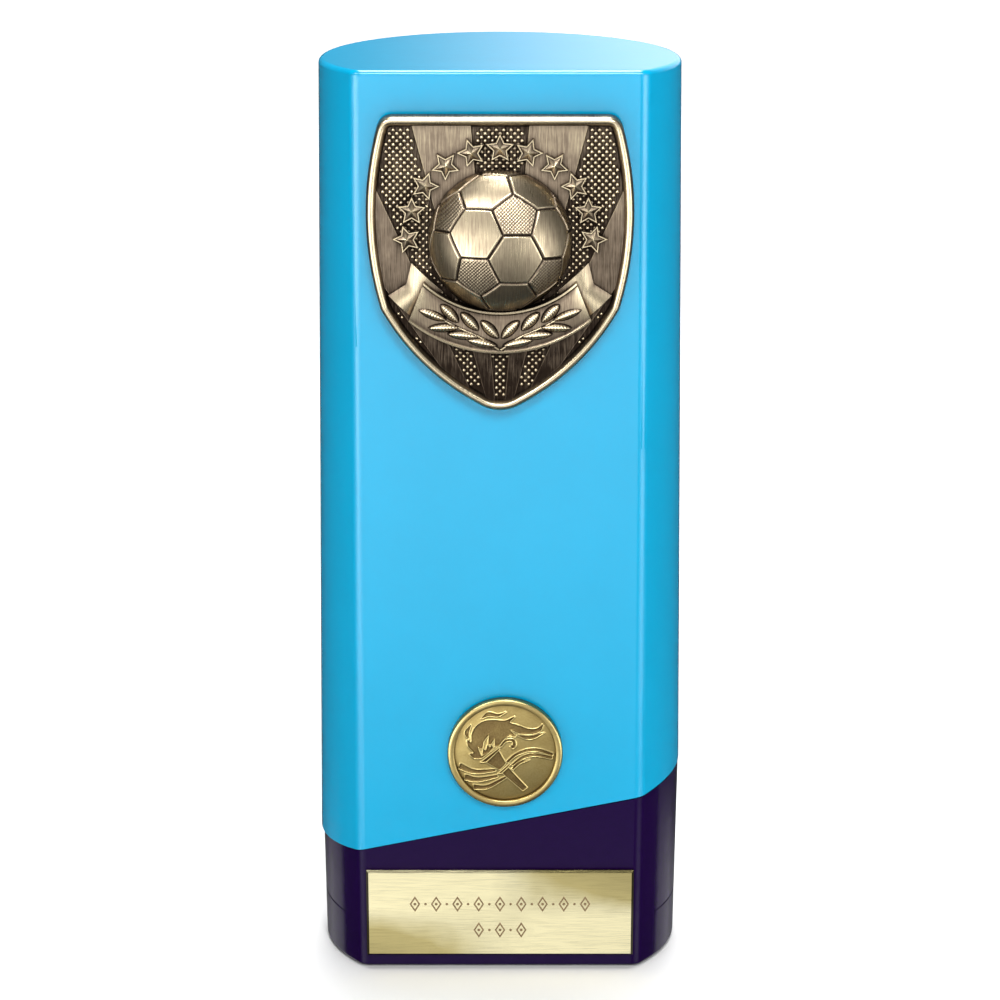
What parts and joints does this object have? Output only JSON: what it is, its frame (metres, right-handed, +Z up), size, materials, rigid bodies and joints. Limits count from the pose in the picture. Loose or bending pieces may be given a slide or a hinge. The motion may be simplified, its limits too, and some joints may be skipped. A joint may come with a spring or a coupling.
{
  "type": "column trophy",
  "caption": "Free-standing award column: hollow flat-fronted tower on a slanted-seam weighted base, with a cast ball shield, a centre disc and an engraving plate.",
  "frame": {"origin": "centre of the column's ellipse, on the plane that the felt stands on", "axes": "+Z up, flat front with the badge towards -Y, +X to the viewer's right when facing the front"},
  "size_m": [0.0806, 0.0707, 0.2],
  "materials": {
    "shell_plastic": "polished light-blue ABS moulding",
    "base_plastic": "polished dark-purple ABS moulding",
    "felt": "black pressed felt, self-adhesive",
    "screw_steel": "bright zinc plating",
    "ballast_iron": "as cast, lightly oiled",
    "foam_tape": "white closed-cell foam tape",
    "antique_casting": "zinc casting, antique bronze plate, dark in its recesses, brushed on its high spots",
    "disc_metal": "stamped disc, antique gold, satin brushed",
    "plate_metal": "pale gold anodised, polished, bevelled edge"
  },
  "bodies": {
    "root": {"column_shell": "shell_plastic", "base_cup": "base_plastic", "felt_pad": "felt", "assembly_screws": "screw_steel", "assembly_washers": "screw_steel", "ballast_block": "ballast_iron", "ballast_pad": "foam_tape", "ballast_screws": "screw_steel", "shield_badge": "antique_casting", "badge_pad": "foam_tape", "centre_disc": "disc_metal", "disc_pad": "foam_tape", "engraving_plate": "plate_metal", "plate_pad": "foam_tape"}
  },
  "joints": []
}
